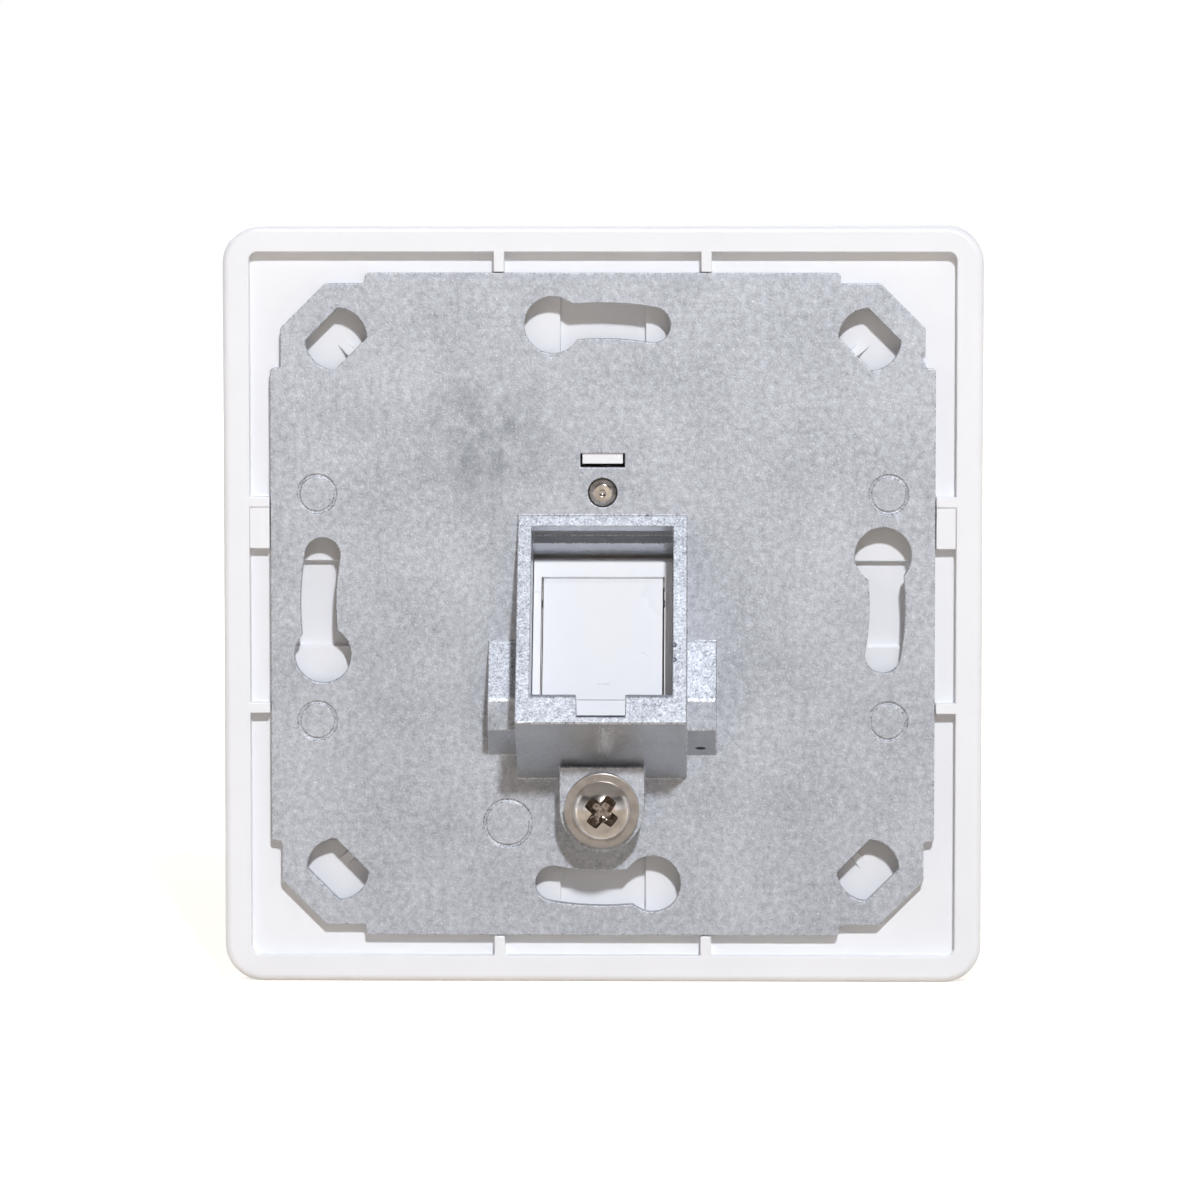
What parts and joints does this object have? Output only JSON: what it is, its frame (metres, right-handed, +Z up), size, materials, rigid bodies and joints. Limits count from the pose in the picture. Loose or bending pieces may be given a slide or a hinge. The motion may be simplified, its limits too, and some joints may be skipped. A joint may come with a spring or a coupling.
{
  "type": "keystone faceplate",
  "caption": "Flush-mounted square wall faceplate for a slanted keystone jack, with a zinc mounting plate, cover frame, centre plate, dust flap and earth screw.",
  "frame": {"origin": "centre of the four fixing slots, in the rear face of the mounting plate", "axes": "+Y rearward into the wall box, so the front of the faceplate looks along -Y; +Z up; +X to the right as seen from the front"},
  "size_m": [0.08, 0.0209, 0.08],
  "materials": {
    "cast_zinc": "bare zinc die casting, finely speckled",
    "frame_plastic": "white ABS plastic, glossy",
    "centre_plastic": "white ABS plastic, glossy",
    "flap_plastic": "white ABS plastic, glossy",
    "nickel_screw": "nickel-plated steel, worn bright",
    "nickel_washer": "nickel-plated steel"
  },
  "bodies": {
    "outlet": {"mounting_plate": "cast_zinc", "cover_frame": "frame_plastic", "centre_plate": "centre_plastic", "centre_screw": "nickel_screw"},
    "flap": {"dust_flap": "flap_plastic"},
    "washer": {"earth_washer": "nickel_washer"},
    "clamp_screw": {"earth_screw": "nickel_screw"}
  },
  "joints": [
    {"name": "flap_hinge", "type": "hinge", "parent": "outlet", "child": "flap", "pos_m": [0, -0.00509, -0.00022], "axis": [-1, 0, 0], "range_deg": [0, 80]},
    {"name": "washer_travel", "type": "slide", "parent": "outlet", "child": "washer", "axis": [0, 1, 0], "range_m": [0, 0.003]},
    {"name": "screw_turn", "type": "hinge", "parent": "washer", "child": "clamp_screw", "pos_m": [0, 0.0037, -0.0212], "axis": [0, 1, 0], "range_deg": [0, 1800]}
  ],
  "couplings": [
    {"joint": "screw_turn", "follows": "washer_travel", "rad_per_m": 10472}
  ]
}
